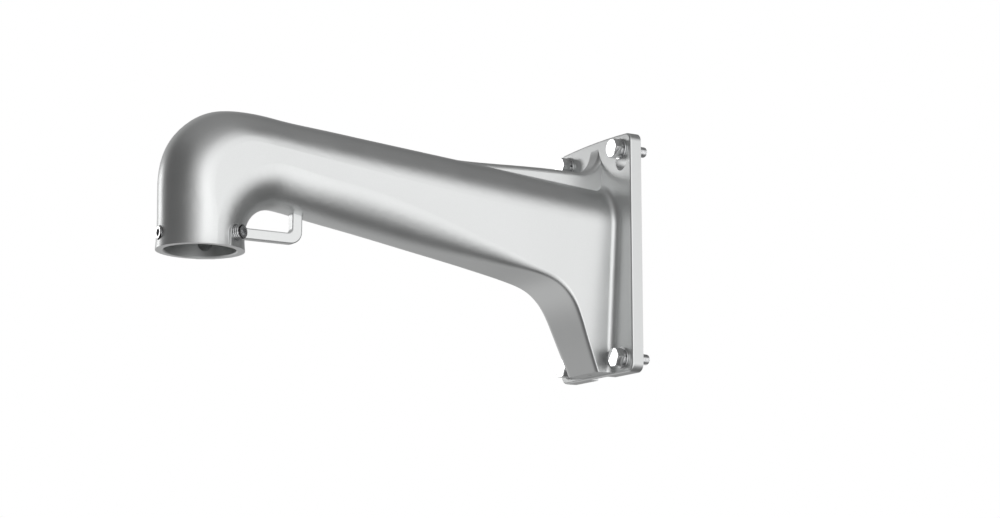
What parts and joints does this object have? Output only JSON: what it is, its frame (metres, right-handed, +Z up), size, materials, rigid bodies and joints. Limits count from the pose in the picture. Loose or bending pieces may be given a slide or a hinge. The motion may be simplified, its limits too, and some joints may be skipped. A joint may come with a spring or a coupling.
{
  "type": "camera wall bracket",
  "caption": "Cast gooseneck wall bracket: a hollow arm swept from a bolted wall plate to a round pipe socket that opens downwards, with a rope loop.",
  "frame": {"origin": "middle of the wall plate's wall face, centred in the rectangle of wall bolts", "axes": "+X out from the wall along the arm, +Z up, +Y across the plate"},
  "size_m": [0.3713, 0.097, 0.1804],
  "materials": {
    "cast_aluminium": "bead blasted satin",
    "bright_steel": "bright plated",
    "spring_steel": "plated spring steel",
    "screw_steel": "bright steel, dark socket"
  },
  "bodies": {
    "root": {"bracket_casting": "cast_aluminium", "wall_bolts": "bright_steel", "spring_washers": "spring_steel", "flat_washers": "bright_steel", "clamp_screws": "screw_steel"}
  },
  "joints": []
}
